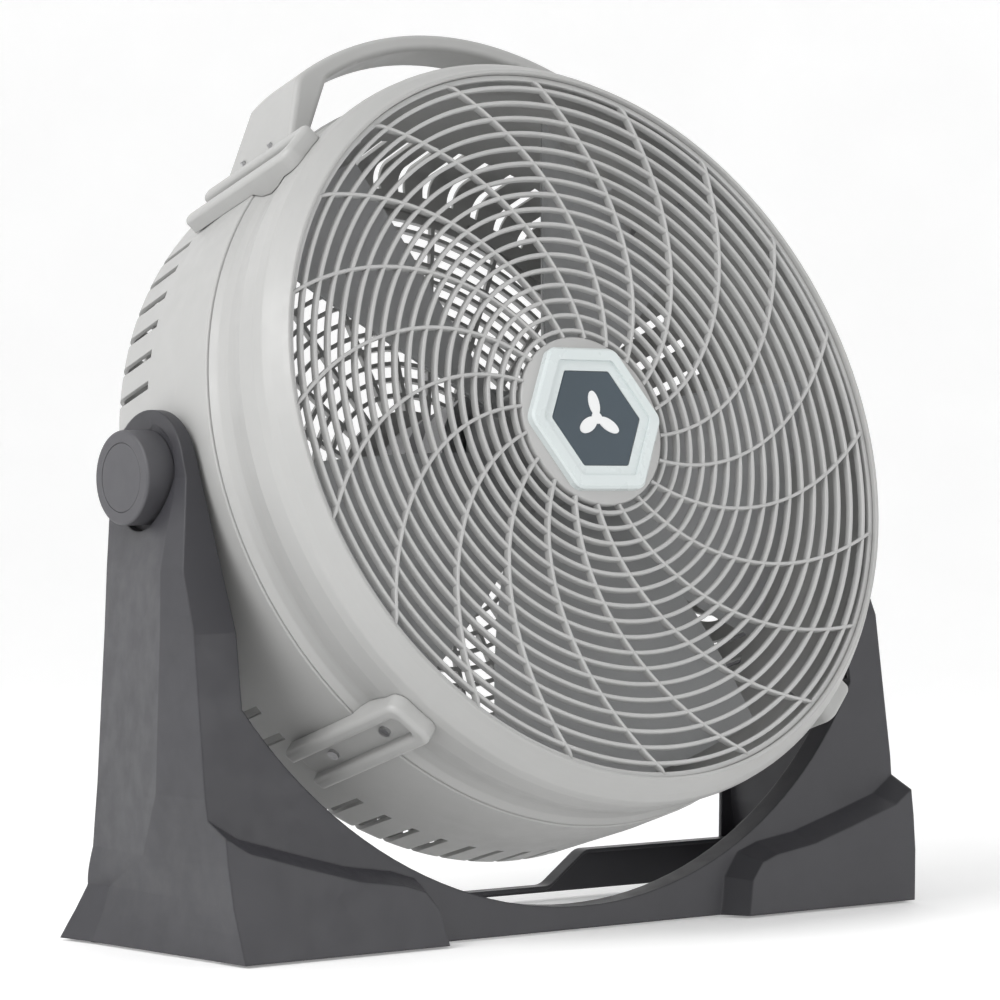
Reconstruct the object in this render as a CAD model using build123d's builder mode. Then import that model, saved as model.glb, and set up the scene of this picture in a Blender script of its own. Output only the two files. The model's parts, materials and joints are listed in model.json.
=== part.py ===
from build123d import *
from math import cos, radians, sin, sqrt
import os

# A pivoting floor fan on a two-armed cradle base. Millimetres, +Z up.
# The origin is on the floor, in the middle of the fan's footprint, and the fan blows towards -Y.
# Left and right are as seen by someone who stands in front of the grille: left is -X.

os.makedirs("parts", exist_ok=True)

# ---------------------------------------------------------------- driving dimensions
TILT = 18.0                # how far the head leans back at rest, degrees
PIVOT_Y = 33.0             # the tilt axis is this far behind the middle of the footprint
PIVOT_Z = 296.0            # and this far above the floor
WALL = 2.8                 # general moulding thickness
FIT = 0.3                  # gap between pieces that move past each other
RUNNING = 0.05             # radial clearance of a shaft in its bearing

# head, measured from the tilt axis: radius from the head's axis, and distance forward along it
OPENING_RADIUS = 242.0
BEZEL_RADIUS = 255.8
BEZEL_FRONT = 131.0
WAIST_RADIUS = 250.6
SEAM = 57.4                # where the bezel meets the rear housing
HOUSING_RADIUS = 257.0
HOUSING_REAR_RADIUS = 253.5
HOUSING_BACK = -62.0

# front grille
GRILLE_BACK = 117.8
GRILLE_FRONT = 122.8
RING_COUNT = 17
RING_FIRST = 63.0
RING_PITCH = 10.6
RING_WIDTH = 2.8
RIB_COUNT = 20
RIB_WIDTH = 2.3
RIB_FIRST = 8.6            # angle of the first rib where it leaves the hub, degrees
RIB_TWIST = 44.5           # degrees that a rib turns from hub to rim
GRILLE_HUB_RADIUS = 58.0
DISH_RISE = 7.4            # how far the grille's rim stands ahead of its hub

# vent slots round the rear edge
SLOT_COUNT = 70
SLOT_WIDTH = 6.0
SLOT_FRONT = -15.0
SLOT_INNER_RADIUS = 236.0
REAR_OPENING = 222.0

# clamp lugs
CLIP_ANGLES = {"upper_right": 46.5, "upper_left": 133.5, "lower_left": 226.5, "lower_right": 313.5}
CLIP_WIDTH = 36.0
CLIP_CHANNEL = 17.0
CLIP_BACK = -12.0
CLIP_FRONT = 108.0
CLIP_TOP = 268.0
CLIP_FLOOR = 260.5

# carry handle
GRIP_RADIUS = 302.5        # top of the grip, from the head's axis
GRIP_END_RADIUS = 294.0
GRIP_ARC = 27.0            # half angle of the grip, degrees
GRIP_THICKNESS = 11.5
GRIP_BACK = 29.0
HANDLE_BACK = -24.0
HANDLE_FRONT = 57.0
HANDLE_FOOT = 37.0         # half angle where the outer slope reaches the drum

# screws of the head
CLIP_SCREW_FORWARD = (18.0, 74.0)
HANDLE_SCREW_ANGLES = (55.8, 124.2)
HANDLE_SCREW_FORWARD = (2.0, 34.0)
REAR_SCREW_CIRCLE = 227.0

# impeller
BLADE_COUNT = 5
BLADE_FIRST = 60.0         # angle of the first blade, degrees
BLADE_TIP_RADIUS = 228.0
BLADE_HUB_RADIUS = 41.0
IMPELLER_MIDDLE = 66.0
SHAFT_RADIUS = 4.0

# motor
STATOR_OUTER = 54.0
STATOR_INNER = 34.0
MOTOR_MIDDLE = -4.0

# base
BASE_HALF = 299.0
ARM_INNER = 261.0
PANEL_TOP = 200.0          # height where the front faces turn in towards the tilt axis
ARM_TOP_RADIUS = 43.0
PANEL_FOOT_Y = -112.0      # the upper front panel's plane at the floor, from the tilt axis
PANEL_LEAN = 0.137         # how far the front faces lean back, mm per mm of height
BLOCK_PROUD = 18.0
BASE_REAR_Y = 52.0
FOOT_REAR_Y = 62.0         # where the rear foot flares to at the floor
ARCH_RADIUS = 317.0
ARCH_HEIGHT = 333.0
ARCH_TIP = ARCH_HEIGHT - sqrt(ARCH_RADIUS**2 - ARM_INNER**2)   # where the arch meets the arm's inner face
FLANGE_DEPTH = 18.0
FOOT_LIFT = 1.6            # how far the rubber feet hold the moulding off the floor
KNOB_RADIUS = 30.0
KNOB_INNER_X = 269.6
KNOB_OUTER_X = 290.0
STUD_RADIUS = 5.0

# ---------------------------------------------------------------- places and planes
SIN = sin(radians(TILT))
COS = cos(radians(TILT))
PIVOT = Vector(0, PIVOT_Y, PIVOT_Z)
FORWARD = Vector(0, -COS, SIN)
UPWARD = Vector(0, SIN, COS)
HEAD = Plane(origin=PIVOT, x_dir=(1, 0, 0), z_dir=FORWARD)
HALF = Plane(origin=PIVOT, x_dir=(1, 0, 0), z_dir=-UPWARD)
HEAD_AXIS = Axis(PIVOT, FORWARD)
SIDE = Plane(origin=(0, PIVOT_Y, 0), x_dir=(0, 1, 0), z_dir=(1, 0, 0))
FRONT = Plane(origin=(0, PIVOT_Y, 0), x_dir=(1, 0, 0), z_dir=(0, -1, 0))
SIDES = {"left": -1, "right": 1}
HEAD_SIDE = Plane(origin=PIVOT, x_dir=FORWARD, z_dir=(-1, 0, 0))


def radial_plane(angle, forward, radius, turn=0.0):
    """A plane that faces outward from the head's axis; its x is turned from the forward direction."""
    outward = Vector(1, 0, 0) * cos(radians(angle)) + UPWARD * sin(radians(angle))
    across = outward.cross(FORWARD)
    along = FORWARD * cos(radians(turn)) + across * sin(radians(turn))
    return Plane(origin=PIVOT + FORWARD * forward + outward * radius, x_dir=along, z_dir=outward)


def ring(inner, outer, back, front, mode=Mode.ADD):
    """A ring or disc about the head's axis, in the part being built."""
    with BuildSketch(HEAD.offset(back)) as outline:
        Circle(outer)
        if inner > 0:
            Circle(inner, mode=Mode.SUBTRACT)
    extrude(outline.sketch, amount=front - back, mode=mode)


def turned(points, radii, mode=Mode.ADD):
    """A closed (radius, forward) outline with rounded corners, turned about the head's axis."""
    with BuildSketch(HALF) as outline:
        with BuildLine():
            FilletPolyline(*points, radius=radii, close=True)
        make_face()
    revolve(outline.sketch, axis=HEAD_AXIS, mode=mode)


def pins(plane, places, radius, start, end, mode=Mode.ADD):
    """Round pins or holes at places on a plane, from start to end along its normal."""
    with BuildSketch(plane.offset(start)) as outline:
        with Locations(*places):
            Circle(radius)
    extrude(outline.sketch, amount=end - start, mode=mode)


def around(radius, count, first=0.0):
    """Places evenly spaced round a circle."""
    angles = [radians(first + 360.0 * index / count) for index in range(count)]
    return [(radius * cos(angle), radius * sin(angle)) for angle in angles]


def save(piece, label):
    """Label a finished piece and write it out."""
    piece.part.label = label
    export_step(piece.part, f"parts/{label}.step")


# ================================================================ head: housing and bezel
SLOT_LUG_GAP = 5.0
SLOT_PIVOT_GAP = 3.0


def is_slot(angle):
    """Whether the rear edge has a vent slot at that angle: not at a lug, nor at a side pivot."""
    lug_gaps = [abs((angle - lug + 180) % 360 - 180) for lug in CLIP_ANGLES.values()]
    pivot_gap = min(angle % 180, 180 - angle % 180)
    return min(lug_gaps) > SLOT_LUG_GAP and pivot_gap > SLOT_PIVOT_GAP


with BuildPart() as rear_housing:
    turned(
        [
            (HOUSING_RADIUS, SEAM - FIT),
            (HOUSING_RADIUS, 20),
            (HOUSING_REAR_RADIUS, HOUSING_BACK),
            (REAR_OPENING, HOUSING_BACK),
            (REAR_OPENING, HOUSING_BACK + WALL),
            (HOUSING_REAR_RADIUS - WALL, HOUSING_BACK + WALL),
            (HOUSING_RADIUS - WALL, 20),
            (HOUSING_RADIUS - WALL, SEAM - FIT),
        ],
        [1.0, 60, 14, 0.6, 0.6, 11.2, 57, 0.6],
    )
    slot_depth = HOUSING_RADIUS + 4 - SLOT_INNER_RADIUS
    slot_turns = [360.0 * index / SLOT_COUNT for index in range(SLOT_COUNT)]
    with BuildSketch(HEAD.offset(HOUSING_BACK - 2)) as slots:
        for angle in filter(is_slot, slot_turns):
            middle = SLOT_INNER_RADIUS + slot_depth / 2
            place = (middle * cos(radians(angle)), middle * sin(radians(angle)))
            with Locations(Location((*place, 0), (0, 0, angle))):
                Rectangle(slot_depth, SLOT_WIDTH)
    extrude(slots.sketch, amount=SLOT_FRONT - HOUSING_BACK + 2, mode=Mode.SUBTRACT)
    for angle in CLIP_ANGLES.values():
        pins(radial_plane(angle, CLIP_SCREW_FORWARD[0], 240), [(0, 0)], 2.1, 0, 30, Mode.SUBTRACT)
    for angle in HANDLE_SCREW_ANGLES:
        for forward in HANDLE_SCREW_FORWARD:
            pins(radial_plane(angle, forward, 240), [(0, 0)], 2.1, 0, 30, Mode.SUBTRACT)
    for side in SIDES.values():
        hole = Plane(origin=PIVOT, x_dir=(0, 1, 0), z_dir=(side, 0, 0))
        pins(hole, [(0, 0)], STUD_RADIUS + 1.5, 240, 262, Mode.SUBTRACT)
    pins(HEAD, around(REAR_SCREW_CIRCLE, 8, 22.5), 1.6, HOUSING_BACK - 2, HOUSING_BACK + 6, Mode.SUBTRACT)
save(rear_housing, "rear_housing")

with BuildPart() as front_bezel:
    turned(
        [
            (HOUSING_RADIUS - 1.0, SEAM),
            (WAIST_RADIUS + 1.6, SEAM + 6),
            (WAIST_RADIUS, 72),
            (WAIST_RADIUS + 1.9, 82),
            (BEZEL_RADIUS - 0.6, 92),
            (BEZEL_RADIUS, 108),
            (BEZEL_RADIUS - 1.0, 115.5),
            (BEZEL_RADIUS - 4.4, 121.2),
            (OPENING_RADIUS + 4.6, 127.4),
            (OPENING_RADIUS + 2.2, BEZEL_FRONT),
            (OPENING_RADIUS, BEZEL_FRONT),
            (OPENING_RADIUS, GRILLE_BACK - 1),
            (OPENING_RADIUS + 2.2, GRILLE_BACK - 1),
            (OPENING_RADIUS + 2.2, 125.2),
            (BEZEL_RADIUS - 6.2, 118.8),
            (BEZEL_RADIUS - WALL - 0.6, 114),
            (BEZEL_RADIUS - WALL, 107),
            (BEZEL_RADIUS - 0.6 - WALL, 93),
            (WAIST_RADIUS + 1.9 - WALL, 83),
            (WAIST_RADIUS - WALL, 72),
            (WAIST_RADIUS + 1.6 - WALL, SEAM + 6),
            (HOUSING_RADIUS - 2 * WALL - 0.2, SEAM - 10),
            (HOUSING_RADIUS - WALL - 0.1, SEAM - 10),
            (HOUSING_RADIUS - WALL - 0.1, SEAM),
        ],
        [0.5, 5, 14, 14, 8, 6, 6, 5, 5, 1, 1, 0.4, 0.4, 1.5, 4, 3, 4, 6, 12, 12, 5, 0.4, 0.4, 0],
    )
    for angle in CLIP_ANGLES.values():
        pins(radial_plane(angle, CLIP_SCREW_FORWARD[1], 240), [(0, 0)], 2.1, 0, 30, Mode.SUBTRACT)
save(front_bezel, "front_bezel")

# ================================================================ head: front grille
RIM_INNER = OPENING_RADIUS - 4.0
RIM_OUTER = OPENING_RADIUS - 0.2
DISH_MIDDLE = (GRILLE_HUB_RADIUS + RIM_OUTER) / 2


def dish_rise(radius):
    """How far ahead of its hub the grille stands at that radius."""
    share = (radius**2 - GRILLE_HUB_RADIUS**2) / (RIM_OUTER**2 - GRILLE_HUB_RADIUS**2)
    return DISH_RISE * share


def dish_edge(forward):
    """A line along the dish, from the hub's centre to past the rim."""
    Line((0, forward), (GRILLE_HUB_RADIUS, forward))
    ThreePointArc(
        (GRILLE_HUB_RADIUS, forward),
        (DISH_MIDDLE, forward + dish_rise(DISH_MIDDLE)),
        (RIM_OUTER, forward + DISH_RISE),
    )


with BuildPart() as front_grille:
    with BuildSketch(HEAD.offset(GRILLE_BACK - 1)) as web:
        for index in range(RING_COUNT):
            radius = RING_FIRST + RING_PITCH * index
            with BuildSketch(mode=Mode.PRIVATE) as band:
                Circle(radius + RING_WIDTH / 2)
                Circle(radius - RING_WIDTH / 2, mode=Mode.SUBTRACT)
            add(band.sketch)
        for index in range(RIB_COUNT):
            start = RIB_FIRST + 360.0 * index / RIB_COUNT
            line = []
            for share in (-0.015, 0.5, 0.99):
                radius = GRILLE_HUB_RADIUS + (RIM_OUTER - GRILLE_HUB_RADIUS) * share
                turn = radians(start + RIB_TWIST * share)
                line.append((radius * cos(turn), radius * sin(turn)))
            with BuildLine(mode=Mode.PRIVATE) as spine:
                ThreePointArc(*line)
            with BuildSketch(mode=Mode.PRIVATE) as rib:
                trace(spine.line, line_width=RIB_WIDTH)
            add(rib.sketch)
        Circle(GRILLE_HUB_RADIUS)
        with BuildSketch(mode=Mode.PRIVATE) as rim:
            Circle(RIM_OUTER)
            Circle(RIM_INNER, mode=Mode.SUBTRACT)
        add(rim.sketch)
    extrude(web.sketch, amount=GRILLE_FRONT + DISH_RISE - GRILLE_BACK + 2)
    with BuildSketch(HALF) as dish:
        with BuildLine():
            dish_edge(GRILLE_BACK)
            dish_edge(GRILLE_FRONT)
            Line((0, GRILLE_BACK), (0, GRILLE_FRONT))
            Line((RIM_OUTER, GRILLE_BACK + DISH_RISE), (RIM_OUTER, GRILLE_FRONT + DISH_RISE))
        make_face()
    revolve(dish.sketch, axis=HEAD_AXIS, mode=Mode.INTERSECT)
    # the hub is a shallow cup, and the rim is set back behind the bezel's lip
    ring(0, GRILLE_HUB_RADIUS - 3, GRILLE_BACK - 1, GRILLE_FRONT - 2.8, Mode.SUBTRACT)
    ring(RIM_INNER - 0.5, RIM_OUTER + 1, GRILLE_FRONT + DISH_RISE - 2.4, GRILLE_FRONT + 20, Mode.SUBTRACT)
save(front_grille, "front_grille")

# ================================================================ head: badge
BADGE_BACK = GRILLE_FRONT
BADGE_RADIUS = 56.0
BADGE_STEP_RADIUS = 46.0
BADGE_FACE_RADIUS = 37.5


def hexagon(plane, radius, corner):
    """A hexagon about the head's axis with rounded corners."""
    with BuildSketch(plane) as outline:
        RegularPolygon(radius, 6)
        fillet(outline.vertices(), radius=corner)
    return outline.sketch


BADGE_TOP = HEAD.offset(BADGE_BACK + 6.0)
with BuildPart() as badge_border:
    extrude(hexagon(HEAD.offset(BADGE_BACK), BADGE_RADIUS, 9.0), amount=6.0)
    chamfer(faces().sort_by(HEAD_AXIS)[-1].edges(), length=1.6)
    extrude(hexagon(BADGE_TOP, BADGE_STEP_RADIUS, 4.0), amount=-1.8, mode=Mode.SUBTRACT)
    extrude(hexagon(BADGE_TOP, BADGE_FACE_RADIUS + 0.3, 2.3), amount=-4.0, mode=Mode.SUBTRACT)
save(badge_border, "badge_border")

with BuildPart() as badge_face:
    extrude(hexagon(HEAD.offset(BADGE_BACK + 2.0), BADGE_FACE_RADIUS, 2.0), amount=2.6)
    chamfer(faces().sort_by(HEAD_AXIS)[-1].edges(), length=0.6)
save(badge_face, "badge_face")

with BuildPart() as badge_mark:
    with BuildSketch(HEAD.offset(BADGE_BACK + 4.6)):
        with PolarLocations(10.0, 3, start_angle=90):
            Ellipse(8.6, 4.4)
        Circle(4.2)
    extrude(amount=0.7)
save(badge_mark, "badge_mark")

# ================================================================ head: clamp lugs
HEAD_SKIN = [
    (0, HOUSING_BACK - 30),
    (HOUSING_RADIUS + 0.1, HOUSING_BACK - 30),
    (HOUSING_RADIUS + 0.1, SEAM),
    (WAIST_RADIUS + 2.0, SEAM + 6),
    (WAIST_RADIUS + 0.5, 72),
    (WAIST_RADIUS + 2.2, 82),
    (BEZEL_RADIUS - 0.1, 92),
    (BEZEL_RADIUS + 0.3, 113),
    (0, 113),
]
CLIP_BOTTOM = 246.0
CLIP_CORNER = 9.0
CLIP_BAR = (CLIP_WIDTH - CLIP_CHANNEL) / 2


def lug_outline(plane, back, front, half, corner):
    """A lug's outline or its channel's, with rounded corners at the front."""
    with BuildSketch(plane) as outline:
        with BuildLine():
            FilletPolyline(
                (back, -half),
                (front, -half),
                (front, half),
                (back, half),
                radius=[2, corner, corner, 2],
                close=True,
            )
        make_face()
    return outline.sketch


for name, angle in CLIP_ANGLES.items():
    with BuildPart() as clip:
        floor_plane = radial_plane(angle, 0, CLIP_BOTTOM)
        channel_plane = floor_plane.offset(CLIP_FLOOR - CLIP_BOTTOM)
        outline = lug_outline(floor_plane, CLIP_BACK, CLIP_FRONT, CLIP_WIDTH / 2, CLIP_CORNER)
        extrude(outline, amount=CLIP_TOP - CLIP_BOTTOM)
        channel = lug_outline(
            channel_plane, CLIP_BACK - 20, CLIP_FRONT - CLIP_BAR, CLIP_CHANNEL / 2, CLIP_CORNER / 2
        )
        extrude(channel, amount=20, mode=Mode.SUBTRACT)
        fillet(edges().group_by(Axis(floor_plane.origin, floor_plane.z_dir))[-1], radius=3.8)
        with BuildSketch(HALF) as skin:
            Polygon(*HEAD_SKIN, align=None)
        revolve(skin.sketch, axis=HEAD_AXIS, mode=Mode.SUBTRACT)
        pins(floor_plane, [(forward, 0) for forward in CLIP_SCREW_FORWARD], 2.1, 0, 30, Mode.SUBTRACT)
    save(clip, f"clip_{name}")

with BuildPart() as clip_screws:
    for angle in CLIP_ANGLES.values():
        screw_plane = radial_plane(angle, 0, 0)
        places = [(forward, 0) for forward in CLIP_SCREW_FORWARD]
        pins(screw_plane, places, 3.8, CLIP_FLOOR, CLIP_FLOOR + 2.2)
        pins(screw_plane, places, 2.0, 244, CLIP_FLOOR)
save(clip_screws, "clip_screws")

# ================================================================ head: carry handle
HANDLE_SEAT = HOUSING_RADIUS + 0.1
GRIP_INNER = GRIP_RADIUS - GRIP_THICKNESS
GRIP_INNER_END = 283.6
GRIP_INNER_ARC = 22.5      # half angle of the grip's underside
HANDLE_INNER_FOOT = 31.0   # half angle where the inner slope reaches the drum
LEG_BACK = (                      # what is cut away behind the grip and the legs: distance forward, height
    (GRIP_BACK, 330), (GRIP_BACK, 268), (2, 258), (-12, 226), (HANDLE_BACK, 200), (-60, 200), (-60, 330),
)


def polar(radius, degrees_from_top):
    """A place on the head's face, by radius and angle clockwise from its top."""
    turn = radians(degrees_from_top)
    return (radius * sin(turn), radius * cos(turn))


def mirrored_arc(middle_radius, end_radius, angle):
    """An arc over the head's top, from one side to the other."""
    ThreePointArc(polar(end_radius, -angle), polar(middle_radius, 0), polar(end_radius, angle))


def out_from_axis(edge):
    """How far an edge's middle is from the head's axis."""
    reach = edge.center() - PIVOT
    return (reach - FORWARD * reach.dot(FORWARD)).length


with BuildPart() as carry_handle:
    with BuildSketch(HEAD.offset(HANDLE_BACK)) as arch:
        with BuildLine():
            mirrored_arc(GRIP_RADIUS, GRIP_END_RADIUS, GRIP_ARC)
            mirrored_arc(GRIP_INNER, GRIP_INNER_END, GRIP_INNER_ARC)
            for side in SIDES.values():
                Line(polar(GRIP_END_RADIUS, side * GRIP_ARC), polar(HANDLE_SEAT, side * HANDLE_FOOT))
                ThreePointArc(
                    polar(HANDLE_SEAT, side * HANDLE_FOOT),
                    polar(HANDLE_SEAT, side * (HANDLE_FOOT + HANDLE_INNER_FOOT) / 2),
                    polar(HANDLE_SEAT, side * HANDLE_INNER_FOOT),
                )
                Line(
                    polar(HANDLE_SEAT, side * HANDLE_INNER_FOOT),
                    polar(GRIP_INNER_END, side * GRIP_INNER_ARC),
                )
        make_face()
    extrude(arch.sketch, amount=HANDLE_FRONT - HANDLE_BACK)
    lengthwise = edges().filter_by(HEAD_AXIS)
    corners = [edge for edge in lengthwise if out_from_axis(edge) > HANDLE_SEAT + 5]
    outer_corners = [edge for edge in corners if out_from_axis(edge) > GRIP_END_RADIUS - 3]
    inner_corners = [edge for edge in corners if edge not in outer_corners]
    fillet(outer_corners, radius=16)
    fillet(inner_corners, radius=9)
    # the legs run further back than the grip, with a sloping rear edge
    with BuildSketch(HEAD_SIDE.offset(-200)) as leg_back:
        Polygon(*LEG_BACK, align=None)
    extrude(leg_back.sketch, amount=400, mode=Mode.SUBTRACT)
    rims = [edge for edge in edges().group_by(HEAD_AXIS)[-1] if out_from_axis(edge) > HANDLE_SEAT + 1]
    fillet(rims, radius=4.0)
    for angle in HANDLE_SCREW_ANGLES:
        for forward in HANDLE_SCREW_FORWARD:
            pins(radial_plane(angle, forward, 250), [(0, 0)], 1.9, 0, 20, Mode.SUBTRACT)
save(carry_handle, "carry_handle")

with BuildPart() as handle_screws:
    for angle in HANDLE_SCREW_ANGLES:
        for forward in HANDLE_SCREW_FORWARD:
            pins(radial_plane(angle, forward, 0), [(0, 0)], 1.8, 251.0, 268)
            pins(radial_plane(angle, forward, 0), [(0, 0)], 3.6, 250.0, 252.4)
save(handle_screws, "handle_screws")

# ================================================================ rear grille and motor cover
REAR_FACE = HOUSING_BACK - 0.1
REAR_FLANGE = 2.5
REAR_WEB = 4.0
REAR_HUB_RADIUS = 70.0
REAR_RING_FIRST = 82.0
REAR_RING_PITCH = 11.5
REAR_RING_COUNT = 12
REAR_SPOKES = 24
POST_CIRCLE = 40.0
POST_TOP = MOTOR_MIDDLE - 40.3
COVER_RADIUS = 60.0
COVER_BACK = -88.0
COVER_SCREW_CIRCLE = 64.5

with BuildPart() as rear_grille:
    with BuildSketch(HEAD.offset(REAR_FACE)) as web:
        with BuildSketch(mode=Mode.PRIVATE) as rim:
            Circle(SLOT_INNER_RADIUS - 2)
            Circle(REAR_OPENING - 6, mode=Mode.SUBTRACT)
        add(rim.sketch)
        for index in range(REAR_RING_COUNT):
            radius = REAR_RING_FIRST + REAR_RING_PITCH * index
            with BuildSketch(mode=Mode.PRIVATE) as band:
                Circle(radius + 1.5)
                Circle(radius - 1.5, mode=Mode.SUBTRACT)
            add(band.sketch)
        with PolarLocations((REAR_HUB_RADIUS + REAR_OPENING) / 2 - 2, REAR_SPOKES):
            Rectangle(REAR_OPENING - REAR_HUB_RADIUS, 3.2)
        Circle(REAR_HUB_RADIUS)
    extrude(web.sketch, amount=-REAR_WEB)
    rim_back = REAR_FACE - REAR_WEB - 1
    ring(REAR_OPENING - 4, SLOT_INNER_RADIUS, rim_back, REAR_FACE - REAR_FLANGE, Mode.SUBTRACT)
    post_places = around(POST_CIRCLE, 4, 45)
    pins(HEAD, post_places, 5.5, REAR_FACE - 1, POST_TOP)
    pins(HEAD, post_places, 2.1, REAR_FACE - REAR_WEB - 1, POST_TOP + 1, Mode.SUBTRACT)
    pins(HEAD, around(REAR_SCREW_CIRCLE, 8, 22.5), 2.1, REAR_FACE - 5, REAR_FACE + 1, Mode.SUBTRACT)
    pins(HEAD, around(COVER_SCREW_CIRCLE, 3, 90), 1.6, REAR_FACE - 5, REAR_FACE + 1, Mode.SUBTRACT)
save(rear_grille, "rear_grille")

with BuildPart() as rear_grille_screws:
    screw_places = around(REAR_SCREW_CIRCLE, 8, 22.5)
    pins(HEAD, screw_places, 3.6, REAR_FACE - REAR_FLANGE - 2.2, REAR_FACE - REAR_FLANGE)
    pins(HEAD, screw_places, 1.5, REAR_FACE - REAR_FLANGE - 0.1, HOUSING_BACK + 5)
save(rear_grille_screws, "rear_grille_screws")

COVER_SEAT = REAR_FACE - REAR_WEB - 0.1
GLAND_FORWARD = -78.0
with BuildPart() as rear_motor_cover:
    turned(
        [
            (0.5, COVER_BACK),
            (COVER_RADIUS, COVER_BACK),
            (COVER_RADIUS, COVER_SEAT - 2.6),
            (REAR_HUB_RADIUS - 0.5, COVER_SEAT - 2.6),
            (REAR_HUB_RADIUS - 0.5, COVER_SEAT),
            (COVER_RADIUS - WALL, COVER_SEAT),
            (COVER_RADIUS - WALL, COVER_BACK + WALL),
            (0.5, COVER_BACK + WALL),
        ],
        [0, 9, 1.5, 1, 0.4, 0.4, 6.4, 0],
    )
    pins(HEAD, [(0, 0)], 4.0, COVER_BACK - 1, COVER_BACK + WALL + 1, Mode.SUBTRACT)
    pins(HEAD, around(COVER_SCREW_CIRCLE, 3, 90), 1.9, COVER_SEAT - 4, COVER_SEAT + 1, Mode.SUBTRACT)
    pins(radial_plane(270, GLAND_FORWARD, 40), [(0, 0)], 6.1, 0, 40, Mode.SUBTRACT)
save(rear_motor_cover, "rear_motor_cover")

with BuildPart() as cover_screws:
    screw_places = around(COVER_SCREW_CIRCLE, 3, 90)
    pins(HEAD, screw_places, 3.4, COVER_SEAT - 4.8, COVER_SEAT - 2.6)
    pins(HEAD, screw_places, 1.5, COVER_SEAT - 2.7, REAR_FACE - 0.5)
save(cover_screws, "cover_screws")

with BuildPart() as cord_gland:
    gland_plane = radial_plane(270, GLAND_FORWARD, 0)
    pins(gland_plane, [(0, 0)], 6.0, COVER_RADIUS - 6, COVER_RADIUS + 8)
    pins(gland_plane, [(0, 0)], 8.0, COVER_RADIUS + 0.3, COVER_RADIUS + 3)
    pins(gland_plane, [(0, 0)], 3.6, COVER_RADIUS - 8, COVER_RADIUS + 9, Mode.SUBTRACT)
save(cord_gland, "cord_gland")

# ================================================================ switch and selector
SWITCH_BACK = COVER_BACK + WALL + 0.2
SWITCH_FRONT = SWITCH_BACK + 13.0
PLATE_BACK = COVER_BACK - 1.4
SELECTOR_RADIUS = 17.0
SELECTOR_FRONT = PLATE_BACK - 0.5
SELECTOR_BACK = SELECTOR_FRONT - 8.0
SELECTOR_GRIP_BACK = SELECTOR_BACK - 7.0

with BuildPart() as switch_body:
    with BuildSketch(HEAD.offset(SWITCH_BACK)) as outline:
        RectangleRounded(30, 28, 2)
    extrude(outline.sketch, amount=SWITCH_FRONT - SWITCH_BACK)
    pins(HEAD, [(0, 0)], 3.0 + RUNNING, SWITCH_BACK - 1, SWITCH_FRONT - 3, Mode.SUBTRACT)
    with BuildSketch(HEAD.offset(SWITCH_FRONT - 0.1)) as tabs:
        with GridLocations(8, 14, 3, 2):
            Rectangle(4.8, 0.8)
    extrude(tabs.sketch, amount=5)
save(switch_body, "switch_body")

with BuildPart() as control_plate:
    ring(7.0, 33, PLATE_BACK, COVER_BACK - 0.1)
    chamfer(edges().group_by(HEAD_AXIS)[0], length=0.5)
save(control_plate, "control_plate")

with BuildPart() as switch_shaft:
    ring(0, 3.0, SELECTOR_GRIP_BACK + 4, SWITCH_FRONT - 4)
save(switch_shaft, "switch_shaft")

with BuildPart() as selector_knob:
    ring(0, SELECTOR_RADIUS, SELECTOR_BACK, SELECTOR_FRONT)
    chamfer(edges().group_by(HEAD_AXIS)[0], length=1.5)
    with BuildSketch(HEAD.offset(SELECTOR_BACK + 0.5)) as grip:
        SlotOverall(2 * SELECTOR_RADIUS - 2, 8.0, rotation=90)
    extrude(grip.sketch, amount=SELECTOR_GRIP_BACK - SELECTOR_BACK - 0.5, taper=4)
    pins(HEAD, [(0, 0)], 3.0, SELECTOR_GRIP_BACK + 4, SELECTOR_FRONT + 1, Mode.SUBTRACT)
save(selector_knob, "selector_knob")

BOX_FLOOR = COVER_BACK + WALL + 0.2
with BuildPart() as capacitor:
    with BuildSketch(HEAD.offset(BOX_FLOOR)) as outline:
        with Locations((0, 33)):
            RectangleRounded(34, 17, 2)
    extrude(outline.sketch, amount=13)
save(capacitor, "capacitor")

with BuildPart() as terminal_block:
    with BuildSketch(HEAD.offset(BOX_FLOOR)) as outline:
        with Locations((0, -29)):
            Rectangle(32, 13)
    extrude(outline.sketch, amount=11)
    with BuildSketch(HEAD.offset(BOX_FLOOR + 5)) as wells:
        with Locations((0, -29)):
            with GridLocations(7.6, 1, 4, 1):
                Circle(2.2)
    extrude(wells.sketch, amount=8, mode=Mode.SUBTRACT)
save(terminal_block, "terminal_block")

# ================================================================ motor
STACK_BACK = MOTOR_MIDDLE - 10.0
STACK_FRONT = MOTOR_MIDDLE + 10.0
BELL_WALL = 2.5
BEARING_OUTER = 10.0
REAR_BELL_BACK = MOTOR_MIDDLE - 40.2
FRONT_BELL_FRONT = MOTOR_MIDDLE + 34.0
BOLT_CIRCLE = 49.5

with BuildPart() as stator_core:
    with BuildSketch(HEAD.offset(STACK_BACK)) as lamination:
        Circle(STATOR_OUTER)
        Circle(STATOR_INNER, mode=Mode.SUBTRACT)
        with PolarLocations(STATOR_INNER + 6.5, 24):
            Rectangle(9, 4.2, mode=Mode.SUBTRACT)
        with PolarLocations(STATOR_INNER + 1, 24):
            Rectangle(4, 1.8, mode=Mode.SUBTRACT)
        with PolarLocations(BOLT_CIRCLE, 4):
            Circle(1.9, mode=Mode.SUBTRACT)
    extrude(lamination.sketch, amount=STACK_FRONT - STACK_BACK)
save(stator_core, "stator_core")

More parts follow.
